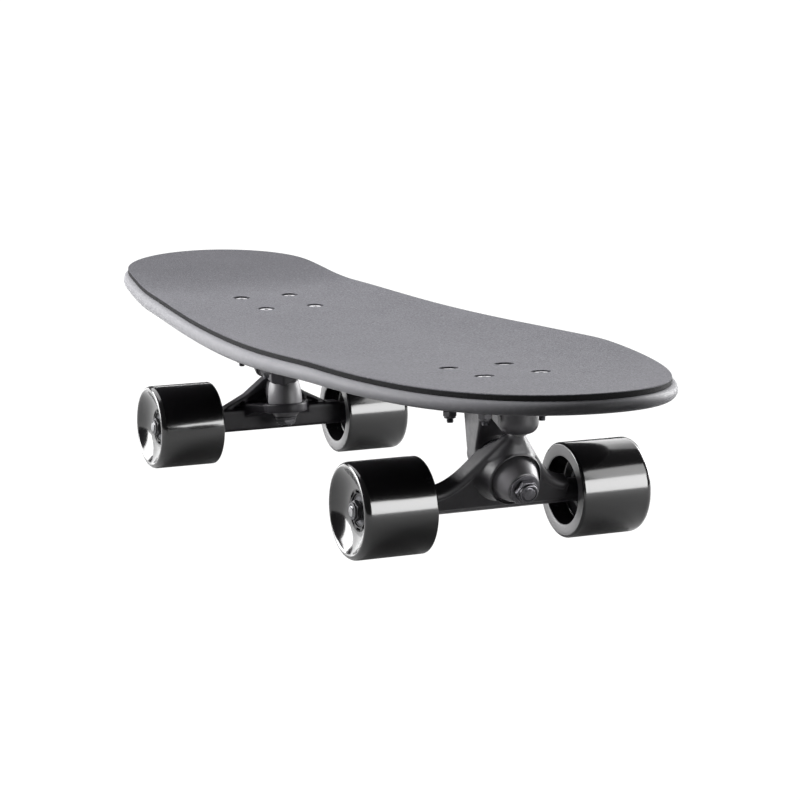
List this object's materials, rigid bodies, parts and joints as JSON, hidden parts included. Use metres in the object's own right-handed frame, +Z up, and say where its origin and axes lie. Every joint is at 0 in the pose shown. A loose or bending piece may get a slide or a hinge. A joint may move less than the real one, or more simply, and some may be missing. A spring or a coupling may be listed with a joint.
{
  "type": "cruiser skateboard",
  "caption": "Short wide board with a soft traction pad and kicked tail, on a tall carving front truck, a risen rear truck and wide soft wheels.",
  "frame": {"origin": "on the ground under the middle of the board, halfway between its two axles", "axes": "+X along the board to the nose, +Z up from the ground, +Y to the rider's left when facing the nose"},
  "size_m": [0.7416, 0.2336, 0.1538],
  "materials": {
    "deck": "moulded composite, satin grey",
    "pad": "gritty charcoal foam",
    "rubber": "matte",
    "cast": "black coating on cast metal",
    "black_steel": "blackened",
    "zinc": "zinc plated",
    "steel": "bright",
    "bushing": "cast urethane, satin grey",
    "cup": "nylon",
    "urethane": "cast urethane, glossy black",
    "core": "moulded nylon",
    "bearing": "ground steel with a dark shield"
  },
  "bodies": {
    "board": {"deck": "deck", "grip_pad": "pad", "rear_riser": "rubber", "front_kingpin_washer": "black_steel", "front_baseplate": "cast", "front_pivot_cup": "cup", "front_kingpin": "black_steel", "front_kingpin_nut": "zinc", "front_board_bushing": "bushing", "front_road_bushing": "bushing", "front_bolt_1": "black_steel", "front_bolt_2": "black_steel", "front_bolt_3": "black_steel", "front_bolt_4": "black_steel", "front_lock_nut_1": "zinc", "front_lock_nut_2": "zinc", "front_lock_nut_3": "zinc", "front_lock_nut_4": "zinc", "rear_baseplate": "cast", "rear_pivot_cup": "cup", "rear_kingpin": "black_steel", "rear_kingpin_nut": "zinc", "rear_board_bushing": "bushing", "rear_road_bushing": "bushing", "rear_bolt_1": "black_steel", "rear_bolt_2": "black_steel", "rear_bolt_3": "black_steel", "rear_bolt_4": "black_steel", "rear_lock_nut_1": "zinc", "rear_lock_nut_2": "zinc", "rear_lock_nut_3": "zinc", "rear_lock_nut_4": "zinc"},
    "front_hanger_set": {"front_hanger": "cast", "front_axle": "steel", "front_left_sleeve": "steel", "front_left_axle_nut": "zinc", "front_right_sleeve": "steel", "front_right_axle_nut": "zinc"},
    "front_left_wheel": {"front_left_tyre": "urethane", "front_left_core": "core", "front_left_outer_bearing": "bearing", "front_left_inner_bearing": "bearing"},
    "front_right_wheel": {"front_right_tyre": "urethane", "front_right_core": "core", "front_right_outer_bearing": "bearing", "front_right_inner_bearing": "bearing"},
    "rear_hanger_set": {"rear_hanger": "cast", "rear_axle": "steel", "rear_left_sleeve": "steel", "rear_left_axle_nut": "zinc", "rear_right_sleeve": "steel", "rear_right_axle_nut": "zinc"},
    "rear_left_wheel": {"rear_left_tyre": "urethane", "rear_left_core": "core", "rear_left_outer_bearing": "bearing", "rear_left_inner_bearing": "bearing"},
    "rear_right_wheel": {"rear_right_tyre": "urethane", "rear_right_core": "core", "rear_right_outer_bearing": "bearing", "rear_right_inner_bearing": "bearing"}
  },
  "joints": [
    {"name": "front_steer", "type": "hinge", "parent": "board", "child": "front_hanger_set", "pos_m": [0.23952, 0, 0.0865], "axis": [0.4909, 0, 0.8712], "range_deg": [-18, 18], "stiffness_Nm_per_rad": 45, "deforming": ["front_board_bushing", "front_road_bushing"]},
    {"name": "rear_steer", "type": "hinge", "parent": "board", "child": "rear_hanger_set", "pos_m": [-0.21375, 0, 0.072], "axis": [-0.8383, 0, 0.5452], "range_deg": [-12, 12], "stiffness_Nm_per_rad": 45, "deforming": ["rear_board_bushing", "rear_road_bushing"]},
    {"name": "front_left_spin", "type": "hinge", "parent": "front_hanger_set", "child": "front_left_wheel", "pos_m": [0.19775, 0.079, 0.0325], "axis": [0, 1, 0], "continuous": true},
    {"name": "front_right_spin", "type": "hinge", "parent": "front_hanger_set", "child": "front_right_wheel", "pos_m": [0.19775, -0.079, 0.0325], "axis": [0, 1, 0], "continuous": true},
    {"name": "rear_left_spin", "type": "hinge", "parent": "rear_hanger_set", "child": "rear_left_wheel", "pos_m": [-0.19775, 0.079, 0.0325], "axis": [0, 1, 0], "continuous": true},
    {"name": "rear_right_spin", "type": "hinge", "parent": "rear_hanger_set", "child": "rear_right_wheel", "pos_m": [-0.19775, -0.079, 0.0325], "axis": [0, 1, 0], "continuous": true}
  ]
}
